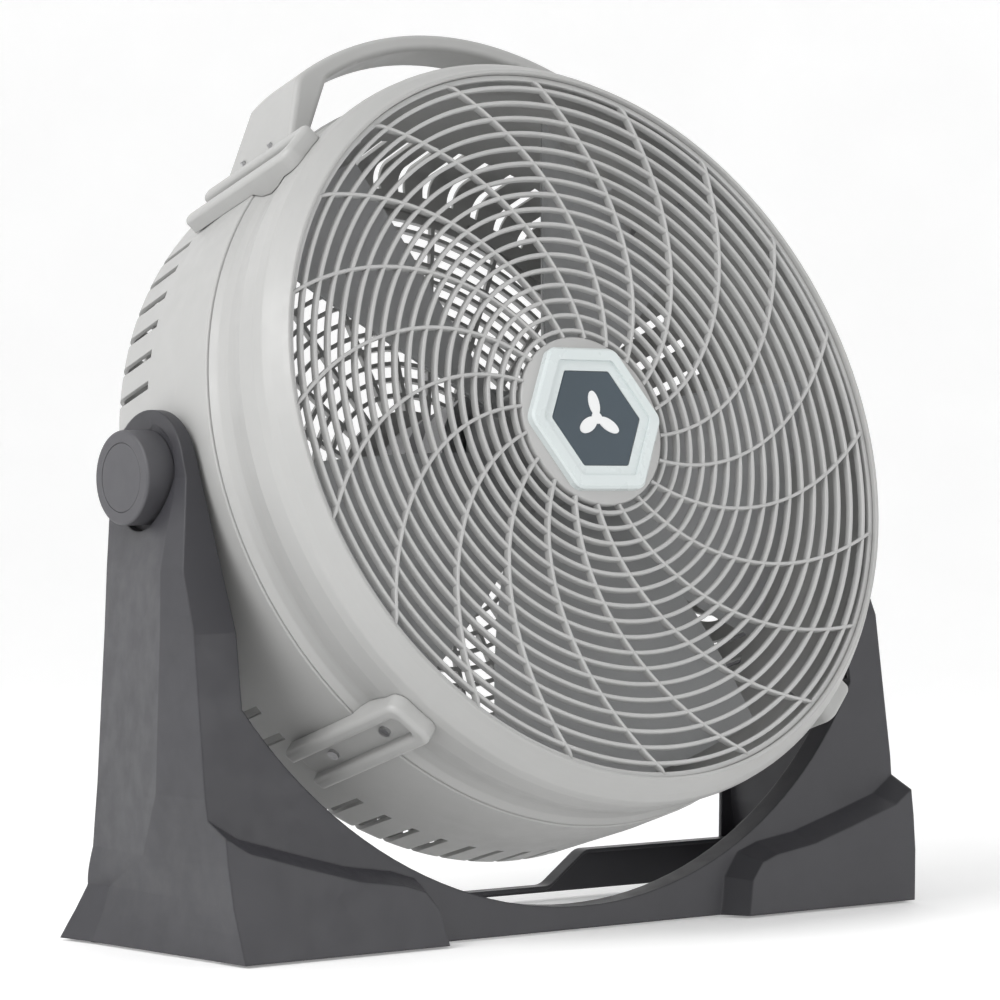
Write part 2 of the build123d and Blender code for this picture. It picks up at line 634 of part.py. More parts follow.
with BuildPart() as stator_windings:
    for start, length in ((STACK_BACK - 9.3, 9), (STACK_FRONT + 0.3, 9)):
        turned(
            [(36.5, start), (45.5, start), (45.5, start + length), (36.5, start + length)],
            [3, 3, 3, 3],
        )
save(stator_windings, "stator_windings")

with BuildPart() as motor_rear_bell:
    ring(STATOR_OUTER - BELL_WALL, STATOR_OUTER, REAR_BELL_BACK, STACK_BACK - 0.1)
    ring(BEARING_OUTER, STATOR_OUTER, REAR_BELL_BACK, REAR_BELL_BACK + BELL_WALL)
    ring(BEARING_OUTER, 15, REAR_BELL_BACK, REAR_BELL_BACK + 10)
    pins(HEAD, around(BOLT_CIRCLE, 4), 1.9, REAR_BELL_BACK - 1, STACK_BACK, Mode.SUBTRACT)
    pins(HEAD, around(POST_CIRCLE, 4, 45), 1.6, REAR_BELL_BACK - 1, REAR_BELL_BACK + 4, Mode.SUBTRACT)
    pins(HEAD, around(28, 6, 30), 5.0, REAR_BELL_BACK - 1, REAR_BELL_BACK + 4, Mode.SUBTRACT)
save(motor_rear_bell, "motor_rear_bell")

with BuildPart() as motor_front_bell:
    ring(STATOR_OUTER - BELL_WALL, STATOR_OUTER, STACK_FRONT + 0.1, FRONT_BELL_FRONT)
    ring(BEARING_OUTER, STATOR_OUTER, FRONT_BELL_FRONT - BELL_WALL, FRONT_BELL_FRONT)
    ring(BEARING_OUTER, 15, FRONT_BELL_FRONT - 10, FRONT_BELL_FRONT)
    pins(HEAD, around(BOLT_CIRCLE, 4), 1.9, STACK_FRONT, FRONT_BELL_FRONT + 1, Mode.SUBTRACT)
    pins(HEAD, around(28, 6, 30), 5.0, FRONT_BELL_FRONT - 4, FRONT_BELL_FRONT + 1, Mode.SUBTRACT)
save(motor_front_bell, "motor_front_bell")

with BuildPart() as motor_through_bolts:
    bolt_places = around(BOLT_CIRCLE, 4)
    pins(HEAD, bolt_places, 1.8, REAR_BELL_BACK, FRONT_BELL_FRONT + 3)
    pins(HEAD, bolt_places, 3.2, REAR_BELL_BACK - 2.2, REAR_BELL_BACK)
    pins(HEAD, bolt_places, 3.2, FRONT_BELL_FRONT, FRONT_BELL_FRONT + 2.2)
save(motor_through_bolts, "motor_through_bolts")

with BuildPart() as motor_mount_screws:
    mount_places = around(POST_CIRCLE, 4, 45)
    pins(HEAD, mount_places, 3.6, REAR_FACE - REAR_WEB - 2.4, REAR_FACE - REAR_WEB)
    pins(HEAD, mount_places, 2.0, REAR_FACE - REAR_WEB - 0.1, REAR_BELL_BACK)
    pins(HEAD, mount_places, 1.5, REAR_BELL_BACK - 1, REAR_BELL_BACK + 4)
save(motor_mount_screws, "motor_mount_screws")

with BuildPart() as rear_bearing:
    ring(SHAFT_RADIUS + RUNNING, BEARING_OUTER - 0.02, REAR_BELL_BACK + 1, REAR_BELL_BACK + 9)
save(rear_bearing, "rear_bearing")

with BuildPart() as front_bearing:
    ring(SHAFT_RADIUS + RUNNING, BEARING_OUTER - 0.02, FRONT_BELL_FRONT - 9, FRONT_BELL_FRONT - 1)
save(front_bearing, "front_bearing")

# ================================================================ impeller
HUB_BACK = IMPELLER_MIDDLE - 27.0
HUB_FRONT = IMPELLER_MIDDLE + 24.0
BOSS_BACK = HUB_FRONT - 34.0
PIN_FORWARD = BOSS_BACK + 1.7
SHAFT_FRONT = HUB_FRONT + 11.0
BLADE_SECTIONS = (                # radius, chord, pitch in degrees, camber
    (BLADE_HUB_RADIUS - 4, 58, 46, 5),
    (130, 138, 29, 13),
    (BLADE_TIP_RADIUS + 26, 196, 19, 14),
)
BLADE_THICKNESS = 2.8
BLADE_EDGE = 1.2

with BuildPart() as fan_blades:
    for blade in range(BLADE_COUNT):
        sections = []
        for radius, chord, pitch, camber in BLADE_SECTIONS:
            angle = BLADE_FIRST + 360.0 * blade / BLADE_COUNT
            half = chord / 2
            with BuildSketch(radial_plane(angle, IMPELLER_MIDDLE, radius, 90 + pitch)) as section:
                with BuildLine():
                    ThreePointArc((-half, 0), (0, camber), (half, 0))
                    Line((half, 0), (half, BLADE_EDGE))
                    ThreePointArc((half, BLADE_EDGE), (0, camber + BLADE_THICKNESS), (-half, BLADE_EDGE))
                    Line((-half, BLADE_EDGE), (-half, 0))
                make_face()
            sections.append(section.sketch)
        loft(sections)
    with BuildSketch(HEAD.offset(HUB_BACK - 40)) as sweep_limit:
        Circle(BLADE_TIP_RADIUS)
    extrude(sweep_limit.sketch, amount=120, mode=Mode.INTERSECT)
    ring(0, BLADE_HUB_RADIUS - WALL, HUB_BACK - 40, HUB_FRONT + 40, Mode.SUBTRACT)
    turned(
        [
            (BLADE_HUB_RADIUS - WALL, HUB_BACK),
            (BLADE_HUB_RADIUS, HUB_BACK),
            (BLADE_HUB_RADIUS, HUB_FRONT - 12),
            (BLADE_HUB_RADIUS - 10, HUB_FRONT),
            (SHAFT_RADIUS, HUB_FRONT),
            (SHAFT_RADIUS, BOSS_BACK),
            (10, BOSS_BACK),
            (10, HUB_FRONT - WALL),
            (BLADE_HUB_RADIUS - 11, HUB_FRONT - WALL),
            (BLADE_HUB_RADIUS - WALL, HUB_FRONT - 13),
        ],
        [0.8, 0.8, 12, 8, 0, 0, 0.8, 2, 5, 9],
    )
    with BuildSketch(HEAD.offset(BOSS_BACK - 1)) as pin_slot:
        Rectangle(24, 3.2)
    extrude(pin_slot.sketch, amount=4.3, mode=Mode.SUBTRACT)
save(fan_blades, "fan_blades")

with BuildPart() as drive_pin:
    pin_plane = Plane(origin=PIVOT + FORWARD * PIN_FORWARD, x_dir=FORWARD, z_dir=(1, 0, 0))
    pins(pin_plane, [(0, 0)], 1.5, -8.5, 8.5)
save(drive_pin, "drive_pin")

with BuildPart() as motor_shaft:
    ring(0, SHAFT_RADIUS, REAR_BELL_BACK + 0.5, SHAFT_FRONT)
    pins(pin_plane, [(0, 0)], 1.5, -8, 8, Mode.SUBTRACT)
    chamfer(edges().group_by(HEAD_AXIS)[-1], length=0.6)
save(motor_shaft, "motor_shaft")

with BuildPart() as rotor_core:
    ring(SHAFT_RADIUS, STATOR_INNER - 0.5, STACK_BACK, STACK_FRONT)
    ring(16, STATOR_INNER - 2, STACK_BACK - 3, STACK_FRONT + 3)
save(rotor_core, "rotor_core")

with BuildPart() as impeller_nut:
    with BuildSketch(HEAD.offset(HUB_FRONT + 0.1)) as hexagon:
        RegularPolygon(9, 6)
        Circle(SHAFT_RADIUS, mode=Mode.SUBTRACT)
    extrude(hexagon.sketch, amount=7)
    ring(SHAFT_RADIUS, 12, HUB_FRONT + 0.1, HUB_FRONT + 2)
save(impeller_nut, "impeller_nut")

# ================================================================ base
# Outer plan of an arm at each height: x at the front corner, x and distance back of the side's crease,
# and x at the rear corner. The crease runs down and back across the side, to the flare of the rear foot.
ARM_PLAN = (
    (0, 286.2, 293.0, 30, 295.8),
    (20, 288.0, 284.0, 30, 288.8),
    (36, 289.6, 279.0, 30, 281.8),
    (60, 291.6, 286.8, -20, 278.0),
    (100, 293.4, 293.2, -44, 275.0),
    (200, 292.4, 292.8, -48, 271.0),
    (238, 289.6, 291.2, -46, 270.0),
    (PIVOT_Z, 270.0, 273.0, -36, 268.5),
    (345, 267.4, 268.4, -30, 267.0),
)
PLAN_FRONT = -150.0
PLAN_REAR = 75.0
KNOB_RECESS = 34.0
RECESS_FLOOR_X = 269.0
PANEL_NORMAL = (0, -1, PANEL_LEAN)
BLOCK_TOP = (                     # upper edge of a foot block where it meets the panel: distance out, height
    (310, 100), (272, 77), (233, 66), (192, 55), (157, 50), (138, 44), (124, 28), (112, -20), (310, -20),
)
BLOCK_SLOPE = 30.0
FLARE = ((0, -1), (0, 36), (BASE_REAR_Y - 1, 36), (BASE_REAR_Y + 2, 20), (FOOT_REAR_Y, -1))
FLANGE_FOOT_Y = PANEL_FOOT_Y + FLANGE_DEPTH
FLANGE_TOP_Y = FLANGE_FOOT_Y + PANEL_LEAN * ARCH_TIP


def side_form(inset):
    """The right half's plan from the floor to the top, or the space inside its side wall."""
    with BuildPart() as form:
        sections = []
        for height, front_x, crease_x, crease_y, rear_x in ARM_PLAN:
            front_y = PANEL_FOOT_Y + PANEL_LEAN * height
            front_slope = (crease_x - front_x) / (crease_y - front_y)
            rear_slope = (rear_x - crease_x) / (BASE_REAR_Y - crease_y)
            with BuildSketch(Plane(origin=(0, PIVOT_Y, height))) as plan:
                Polygon(
                    (0, PLAN_FRONT),
                    (front_x + front_slope * (PLAN_FRONT - front_y) - inset, PLAN_FRONT),
                    (crease_x - inset, crease_y),
                    (crease_x + rear_slope * (PLAN_REAR - crease_y) - inset, PLAN_REAR),
                    (0, PLAN_REAR),
                    align=None,
                )
            sections.append(plan.sketch)
        loft(sections, ruled=True)
    return form.part


def arm_form(inset):
    """The right half of the base without its foot block, or its hollow when inset is the wall."""
    with BuildPart() as form:
        with BuildSketch(SIDE) as profile:
            with Locations((0, PIVOT_Z)):
                Circle(ARM_TOP_RADIUS - inset)
            Polygon(
                (PANEL_FOOT_Y + inset, -1),
                (PANEL_FOOT_Y + inset + PANEL_LEAN * PANEL_TOP, PANEL_TOP),
                (BASE_REAR_Y - inset - 2, 100),
                (BASE_REAR_Y - inset, -1),
                align=None,
            )
            make_hull()
        extrude(profile.sketch, amount=BASE_HALF + 5)
        add(side_form(inset), mode=Mode.INTERSECT)
    return form.part


def block_form(inset):
    """The right foot block, which stands proud of the front panel, or its hollow."""
    panel = Plane(origin=(0, PIVOT_Y + PANEL_FOOT_Y, 0), x_dir=(1, 0, 0), z_dir=PANEL_NORMAL)
    with BuildPart() as form:
        with BuildSketch(panel.offset(-2)) as block:
            Polygon(*BLOCK_TOP, align=None)
            offset(amount=-max(inset, 0.01), kind=Kind.INTERSECTION)
        extrude(block.sketch, amount=BLOCK_PROUD + 2 - inset, taper=BLOCK_SLOPE)
        add(side_form(inset), mode=Mode.INTERSECT)
    return form.part


def rear_foot():
    """The flare of the right rear foot."""
    with BuildPart() as form:
        with BuildSketch(SIDE) as flare:
            Polygon(*FLARE, align=None)
        extrude(flare.sketch, amount=BASE_HALF + 5)
        add(side_form(0), mode=Mode.INTERSECT)
    return form.part


OUTER_ARM = arm_form(0)
OUTER_BLOCK = block_form(0)
HOLLOW_ARM = arm_form(WALL)
HOLLOW_BLOCK = block_form(WALL)
PIVOT_SIDE = Plane(origin=PIVOT, x_dir=(0, 1, 0), z_dir=(1, 0, 0))
BUSH_RADIUS = 9.0
COVER_WALL = 2.4
COVER_SCREW_PLACES = [(-40, -118), (20, -118), (0, 35)]
PAD_RADIUS = 24.0
REAR_FLANGE_INNER = 266.0
BAR_SCREW_PLACES = [(271, 14), (271, 27)]
SCREW_SEAT_Y = BASE_REAR_Y + 1.0
BAR_FRONT_Y = BASE_REAR_Y - 15.5
BAR_REAR_Y = BASE_REAR_Y - WALL - 0.7
FOOT_PLACES = [(268, -108), (279, 38)]
FOOT_RADIUS = 8.0


def arch_opening(wall):
    """The round arch through the front panel, or the outer face of its return flange."""
    with BuildPart() as form:
        with BuildSketch(SIDE.offset(-BASE_HALF)) as front_slab:
            Polygon(
                (PLAN_FRONT, 0),
                (FLANGE_FOOT_Y, 0),
                (FLANGE_TOP_Y, ARCH_TIP),
                (PLAN_FRONT, ARCH_TIP),
                align=None,
            )
        extrude(front_slab.sketch, amount=2 * BASE_HALF)
        with BuildSketch(FRONT.offset(-120)) as arch:
            with Locations((0, ARCH_HEIGHT)):
                Circle(ARCH_RADIUS + wall)
        extrude(arch.sketch, amount=400, mode=Mode.INTERSECT)
    return form.part


def upper_hollow():
    """The hollow of an arm's upper box, which is open towards the drum."""
    with BuildPart() as form:
        add(HOLLOW_ARM)
        with BuildSketch(Plane.XY.offset(ARCH_TIP + WALL)) as above:
            Rectangle(900, 900)
        extrude(above.sketch, amount=300, mode=Mode.INTERSECT)
    return form.part


def lower_hollow():
    """The hollow behind the front panel and inside the foot block, open below and behind."""
    with BuildPart() as form:
        add(HOLLOW_ARM)
        add(HOLLOW_BLOCK)
        with BuildSketch(Plane.XY.offset(-50)) as below:
            Rectangle(900, 900)
        extrude(below.sketch, amount=ARCH_TIP + 50, mode=Mode.INTERSECT)
        add(arch_opening(WALL), mode=Mode.SUBTRACT)
    return form.part


def pivot_collar():
    """The wall round the knob's recess, trimmed to the arm's outer form."""
    with BuildPart() as form:
        pins(PIVOT_SIDE, [(0, 0)], KNOB_RECESS + WALL, RECESS_FLOOR_X - 4, 300)
        add(OUTER_ARM, mode=Mode.INTERSECT)
    return form.part


def inner_posts():
    """Screw posts for the inner cover and seats for the feet, trimmed to the outer form."""
    with BuildPart() as form:
        pins(PIVOT_SIDE, COVER_SCREW_PLACES, 4.5, ARM_INNER + COVER_WALL + 0.1, 300)
        with BuildSketch(Plane(origin=(0, PIVOT_Y, FOOT_LIFT))) as seats:
            with Locations(*FOOT_PLACES):
                Rectangle(26, 26)
        extrude(seats.sketch, amount=3)
        add(OUTER_ARM, mode=Mode.INTERSECT)
    return form.part


with BuildPart() as base_half:
    add(OUTER_ARM)
    add(OUTER_BLOCK)
    add(rear_foot())
    # the arch, and the space between the arms for the drum
    add(arch_opening(0), mode=Mode.SUBTRACT)
    with BuildSketch(FRONT.offset(-120)) as between:
        with Locations((0, ARCH_TIP + 200)):
            Rectangle(2 * ARM_INNER, 400)
    extrude(between.sketch, amount=400, mode=Mode.SUBTRACT)
    add(upper_hollow(), mode=Mode.SUBTRACT)
    add(lower_hollow(), mode=Mode.SUBTRACT)
    # everything behind the arch's return flange, between the arms' rear flanges
    with BuildSketch(SIDE) as behind:
        Polygon(
            (FLANGE_FOOT_Y, 0),
            (FLANGE_TOP_Y, ARCH_TIP),
            (PLAN_REAR, ARCH_TIP),
            (PLAN_REAR, 0),
            align=None,
        )
    extrude(behind.sketch, amount=REAR_FLANGE_INNER, mode=Mode.SUBTRACT)
    add(pivot_collar())
    pins(PIVOT_SIDE, [(0, 0)], BUSH_RADIUS + 3, ARM_INNER + COVER_WALL + 0.1, RECESS_FLOOR_X)
    pins(PIVOT_SIDE, [(0, 0)], KNOB_RECESS, RECESS_FLOOR_X, 320, Mode.SUBTRACT)
    pins(PIVOT_SIDE, [(0, 0)], BUSH_RADIUS, 200, 320, Mode.SUBTRACT)
    add(inner_posts())
    pins(PIVOT_SIDE, COVER_SCREW_PLACES, 1.4, ARM_INNER, RECESS_FLOOR_X - 1, Mode.SUBTRACT)
    # trim to the floor line
    with BuildSketch(Plane.XY.offset(FOOT_LIFT)) as ground:
        Rectangle(1200, 1200)
    extrude(ground.sketch, amount=-80, mode=Mode.SUBTRACT)
    pins(FRONT, BAR_SCREW_PLACES, 1.9, -PLAN_REAR, -BAR_REAR_Y, Mode.SUBTRACT)
    pins(FRONT, BAR_SCREW_PLACES, 4.2, -PLAN_REAR, -SCREW_SEAT_Y, Mode.SUBTRACT)

with BuildPart() as base_frame:
    add(base_half.part)
    mirror(about=Plane.YZ)
save(base_frame, "base_frame")

BAR_TOP = 34.0
BAR_LOW = 10.5
BAR_BOTTOM = FOOT_LIFT + 3.3
BAR_HALF = 275.0
with BuildPart() as rear_crossbar:
    with BuildSketch(FRONT.offset(-BAR_REAR_Y)) as outline:
        with BuildLine():
            FilletPolyline(
                (-BAR_HALF, BAR_BOTTOM),
                (BAR_HALF, BAR_BOTTOM),
                (BAR_HALF, BAR_TOP),
                (125, BAR_TOP),
                (92, BAR_LOW),
                (-92, BAR_LOW),
                (-125, BAR_TOP),
                (-BAR_HALF, BAR_TOP),
                radius=[1, 1, 2, 14, 14, 14, 14, 2],
                close=True,
            )
        make_face()
    extrude(outline.sketch, amount=BAR_REAR_Y - BAR_FRONT_Y)
    with BuildSketch(FRONT.offset(-BAR_REAR_Y + 2.6)) as channel:
        with BuildLine():
            FilletPolyline(
                (-BAR_HALF - 9, BAR_BOTTOM - 4),
                (BAR_HALF + 9, BAR_BOTTOM - 4),
                (BAR_HALF + 9, BAR_TOP - 2.6),
                (124, BAR_TOP - 2.6),
                (91, BAR_LOW - 2.6),
                (-91, BAR_LOW - 2.6),
                (-124, BAR_TOP - 2.6),
                (-BAR_HALF - 9, BAR_TOP - 2.6),
                radius=[1, 1, 2, 12, 12, 12, 12, 2],
                close=True,
            )
        make_face()
    extrude(channel.sketch, amount=BAR_REAR_Y - BAR_FRONT_Y, mode=Mode.SUBTRACT)
    screw_spots = [(side * x, z) for side in (-1, 1) for x, z in BAR_SCREW_PLACES]
    pins(FRONT, screw_spots, 1.7, -BAR_REAR_Y - 1, -BAR_REAR_Y + 7, Mode.SUBTRACT)
save(rear_crossbar, "rear_crossbar")

with BuildPart() as rubber_feet:
    with BuildSketch(Plane(origin=(0, PIVOT_Y, 0))) as pads:
        with Locations(*[(side * x, y) for side in (-1, 1) for x, y in FOOT_PLACES]):
            Circle(FOOT_RADIUS)
    extrude(pads.sketch, amount=FOOT_LIFT)
    chamfer(edges().group_by(Axis.Z)[0], length=0.5)
save(rubber_feet, "rubber_feet")

# ================================================================ pivots and tilt knobs
WASHER_INNER_X = ARM_INNER - 1.8
PAD_OUTER_X = WASHER_INNER_X - FIT
BUSH_OUTER_X = RECESS_FLOOR_X + 0.2
COVER_SCREW_X = ARM_INNER - 1.4
KNOB_CAP_RADIUS = 22.0

for name, side in SIDES.items():
    outward = Plane(origin=PIVOT, x_dir=(0, side, 0), z_dir=(side, 0, 0))
    cover_places = [(y * side, z) for y, z in COVER_SCREW_PLACES]

    with BuildPart() as arm_cover:
        with BuildSketch(Plane(origin=(0, PIVOT_Y, 0), x_dir=(0, 1, 0), z_dir=(1, 0, 0))) as outline:
            with Locations((0, PIVOT_Z)):
                Circle(ARM_TOP_RADIUS - WALL - 0.3)
            shelf = ARCH_TIP + WALL + 0.3
            Polygon(
                (PANEL_FOOT_Y + WALL + 2.2 + PANEL_LEAN * shelf, shelf),
                (PANEL_FOOT_Y + WALL + 2.2 + PANEL_LEAN * PANEL_TOP, PANEL_TOP),
                (BASE_REAR_Y - WALL - 7.2, shelf),
                (ARM_TOP_RADIUS - WALL - 0.3, PIVOT_Z),
                (0, PIVOT_Z),
                align=None,
            )
            make_hull()
        extrude(outline.sketch, amount=side * (ARM_INNER + COVER_WALL))
        extrude(outline.sketch, amount=side * ARM_INNER, mode=Mode.SUBTRACT)
        pins(outward, [(0, 0)], BUSH_RADIUS, ARM_INNER - 1, ARM_INNER + 4, Mode.SUBTRACT)
        pins(outward, cover_places, 1.7, ARM_INNER - 1, ARM_INNER + 4, Mode.SUBTRACT)
    save(arm_cover, f"arm_cover_{name}")

    with BuildPart() as pivot_bush:
        pins(outward, [(0, 0)], BUSH_RADIUS - 0.02, ARM_INNER + 0.1, BUSH_OUTER_X)
        pins(outward, [(0, 0)], STUD_RADIUS + RUNNING, ARM_INNER - 1, BUSH_OUTER_X + 1, Mode.SUBTRACT)
    save(pivot_bush, f"pivot_bush_{name}")

    with BuildPart() as friction_washer:
        pins(outward, [(0, 0)], 20, WASHER_INNER_X, ARM_INNER - 0.02)
        pins(outward, [(0, 0)], STUD_RADIUS + 0.5, WASHER_INNER_X - 1, ARM_INNER + 1, Mode.SUBTRACT)
    save(friction_washer, f"friction_washer_{name}")

    with BuildPart() as pivot_pad:
        pins(outward, [(0, 0)], PAD_RADIUS, 244, PAD_OUTER_X)
        ring(0, HOUSING_RADIUS + 0.1, -60, 60, Mode.SUBTRACT)
        pins(outward, [(0, 0)], STUD_RADIUS + 0.5, 240, PAD_OUTER_X + 1, Mode.SUBTRACT)
    save(pivot_pad, f"pivot_pad_{name}")

    with BuildPart() as pivot_insert:
        with BuildSketch(outward.offset(236)) as body:
            RectangleRounded(44, 44, 4)
        extrude(body.sketch, amount=3)
        pins(outward, [(0, 0)], 10, 236, 250.5)
        pins(outward, [(0, 0)], STUD_RADIUS + RUNNING, 230, 252, Mode.SUBTRACT)
    save(pivot_insert, f"pivot_insert_{name}")

    with BuildPart() as tilt_knob:
        pins(outward, [(0, 0)], KNOB_RADIUS, KNOB_INNER_X, KNOB_OUTER_X)
        outer_rim = edges().filter_by(GeomType.CIRCLE).sort_by(Axis((0, 0, 0), (side, 0, 0)))[-1]
        fillet(outer_rim, radius=1.8)
        pins(outward, [(0, 0)], KNOB_CAP_RADIUS + 0.1, KNOB_OUTER_X - 1.2, KNOB_OUTER_X + 1, Mode.SUBTRACT)
        pins(outward, [(0, 0)], STUD_RADIUS, KNOB_INNER_X - 1, KNOB_INNER_X + 12, Mode.SUBTRACT)
        pins(outward, [(0, 0)], KNOB_RADIUS - 4, KNOB_INNER_X - 1, KNOB_INNER_X + 3, Mode.SUBTRACT)
        pins(outward, [(0, 0)], STUD_RADIUS + 4, KNOB_INNER_X + 0.4, KNOB_INNER_X + 6)
        pins(outward, [(0, 0)], STUD_RADIUS, KNOB_INNER_X - 1, KNOB_INNER_X + 12, Mode.SUBTRACT)
    save(tilt_knob, f"tilt_knob_{name}")

    with BuildPart() as knob_cap:
        pins(outward, [(0, 0)], KNOB_CAP_RADIUS, KNOB_OUTER_X - 1.1, KNOB_OUTER_X)
        cap_rim = edges().filter_by(GeomType.CIRCLE).sort_by(Axis((0, 0, 0), (side, 0, 0)))[-1]
        chamfer(cap_rim, length=0.5)
    save(knob_cap, f"knob_cap_{name}")

    with BuildPart() as knob_stud:
        pins(outward, [(0, 0)], STUD_RADIUS, 232, KNOB_INNER_X + 11.9)
        chamfer(edges().filter_by(GeomType.CIRCLE).sort_by(Axis((0, 0, 0), (side, 0, 0)))[0], length=0.8)
    save(knob_stud, f"knob_stud_{name}")

with BuildPart() as arm_cover_screws:
    for side in SIDES.values():
        outward = Plane(origin=PIVOT, x_dir=(0, side, 0), z_dir=(side, 0, 0))
        cover_places = [(y * side, z) for y, z in COVER_SCREW_PLACES]
        pins(outward, cover_places, 3.0, COVER_SCREW_X, ARM_INNER - 0.02)
        pins(outward, cover_places, 1.3, ARM_INNER - 0.1, RECESS_FLOOR_X - 1.5)
save(arm_cover_screws, "arm_cover_screws")

with BuildPart() as base_screws:
    pins(FRONT, screw_spots, 3.6, -SCREW_SEAT_Y - 2.1, -SCREW_SEAT_Y - 0.1)
    pins(FRONT, screw_spots, 1.6, -SCREW_SEAT_Y - 0.2, -BAR_REAR_Y + 8)
save(base_screws, "base_screws")
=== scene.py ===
import json
import math

import bmesh
import bpy
from mathutils import Matrix, Vector


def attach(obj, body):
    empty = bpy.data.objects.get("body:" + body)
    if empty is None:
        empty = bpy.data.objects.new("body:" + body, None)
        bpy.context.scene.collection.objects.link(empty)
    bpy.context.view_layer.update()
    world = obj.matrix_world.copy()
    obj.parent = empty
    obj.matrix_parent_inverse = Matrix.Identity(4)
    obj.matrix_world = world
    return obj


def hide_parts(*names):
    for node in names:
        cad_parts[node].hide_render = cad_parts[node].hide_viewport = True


# A pivoting floor fan on a two-armed base. Metres, +Z up; the fan blows towards -Y.
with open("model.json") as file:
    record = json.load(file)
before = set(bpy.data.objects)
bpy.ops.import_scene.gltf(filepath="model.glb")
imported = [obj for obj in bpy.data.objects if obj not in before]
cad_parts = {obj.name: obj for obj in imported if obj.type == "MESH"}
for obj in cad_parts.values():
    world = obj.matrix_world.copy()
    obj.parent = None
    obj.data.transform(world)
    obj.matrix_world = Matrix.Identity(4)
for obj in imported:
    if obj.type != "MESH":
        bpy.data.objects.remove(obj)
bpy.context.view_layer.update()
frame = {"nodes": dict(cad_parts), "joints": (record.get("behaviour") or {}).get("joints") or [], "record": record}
nodes = frame["nodes"]
joints = {joint["name"]: joint for joint in frame["joints"]}

MM = 0.001

# ---------------------------------------------------------------- the head's own frame, read from the joints
PIVOT = Vector(joints["head_tilt"]["pos_m"])
FORWARD = Vector(joints["impeller_spin"]["axis"]).normalized()
RIGHT = Vector((1, 0, 0))
UPWARD = FORWARD.cross(RIGHT)
HEAD = Matrix.Translation(PIVOT) @ Matrix((RIGHT, UPWARD, FORWARD)).transposed().to_4x4()
TO_HEAD = HEAD.inverted()


def head_span(node):
    """The lowest and highest (across, up, forward) of a CAD node, in the head's frame."""
    places = [TO_HEAD @ vertex.co for vertex in nodes[node].data.vertices]
    low = Vector([min(place[axis] for place in places) for axis in range(3)])
    high = Vector([max(place[axis] for place in places) for axis in range(3)])
    return low, high


# ---------------------------------------------------------------- mesh helpers
def piece(name, mesh, body, material, replaced=()):
    """Link a finished mesh as a piece that rides on a CAD body."""
    made = bpy.data.objects.new(name, mesh)
    bpy.context.scene.collection.objects.link(made)
    mesh.materials.append(material)
    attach(made, body)
    if replaced:
        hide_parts(*replaced)
    return made


def smooth_mesh(name, form, matrix=Matrix.Identity(4), sharp_degrees=35.0):
    """Turn a bmesh into a mesh in the row frame, smooth but for its real corners."""
    bmesh.ops.transform(form, matrix=matrix, verts=form.verts)
    bmesh.ops.recalc_face_normals(form, faces=form.faces)
    limit = math.radians(sharp_degrees)
    for face in form.faces:
        face.smooth = True
    for edge in form.edges:
        edge.smooth = len(edge.link_faces) == 2 and edge.calc_face_angle(0.0) < limit
    mesh = bpy.data.meshes.new(name)
    form.to_mesh(mesh)
    form.free()
    return mesh


def rounded_bar(width, depth, radius, steps=3):
    """A closed outline of a moulded bar, centred across its width: its front corners are rounded."""
    half = width / 2
    outline = [(-half, 0.0), (half, 0.0)]
    for centre, first in ((half - radius, 0.0), (radius - half, math.pi / 2)):
        for step in range(steps + 1):
            turn = first + math.pi / 2 * step / steps
            outline.append((centre + radius * math.cos(turn), depth - radius + radius * math.sin(turn)))
    return outline


def add_ring(form, radius, outline, forward, segments=180):
    """A closed ring about the head's axis with that outline of (outward, forward) points."""
    loops = []
    for segment in range(segments):
        turn = math.tau * segment / segments
        loops.append([
            form.verts.new((
                (radius + outward) * math.cos(turn),
                (radius + outward) * math.sin(turn),
                forward + ahead,
            ))
            for outward, ahead in outline
        ])
    for segment in range(segments):
        near, far = loops[segment], loops[(segment + 1) % segments]
        for index in range(len(outline)):
            after = (index + 1) % len(outline)
            form.faces.new((near[index], near[after], far[after], far[index]))


def add_sweep(form, path, outline, forward):
    """A closed bar along a flat path of (across, up) points, with a (sideways, forward) outline."""
    loops = []
    for index, place in enumerate(path):
        before = path[max(index - 1, 0)]
        after = path[min(index + 1, len(path) - 1)]
        along = (Vector(after) - Vector(before)).normalized()
        sideways = Vector((along.y, -along.x))
        loops.append([
            form.verts.new((*(Vector(place) + sideways * aside), forward + ahead))
            for aside, ahead in outline
        ])
    for near, far in zip(loops, loops[1:]):
        for index in range(len(outline)):
            after = (index + 1) % len(outline)
            form.faces.new((near[index], near[after], far[after], far[index]))
    form.faces.new(loops[0])
    form.faces.new(reversed(loops[-1]))


def add_lathe(form, profile, segments=128):
    """A solid turned about the head's axis from (radius, forward) points; both ends lie on the axis."""
    start = form.verts.new((0.0, 0.0, profile[0][1]))
    end = form.verts.new((0.0, 0.0, profile[-1][1]))
    loops = []
    for segment in range(segments):
        turn = math.tau * segment / segments
        loops.append([
            form.verts.new((radius * math.cos(turn), radius * math.sin(turn), forward))
            for radius, forward in profile[1:-1]
        ])
    for segment in range(segments):
        near, far = loops[segment], loops[(segment + 1) % segments]
        form.faces.new((start, near[0], far[0]))
        for index in range(len(near) - 1):
            form.faces.new((near[index], near[index + 1], far[index + 1], far[index]))
        form.faces.new((near[-1], end, far[-1]))


# ---------------------------------------------------------------- materials
def node_material(name):
    """An empty node material with its shader and its object coordinates."""
    material = bpy.data.materials.new(name)
    material.use_nodes = True
    tree = material.node_tree
    shader = tree.nodes["Principled BSDF"]
    place = tree.nodes.new("ShaderNodeTexCoord").outputs["Object"]
    return material, tree, shader, place


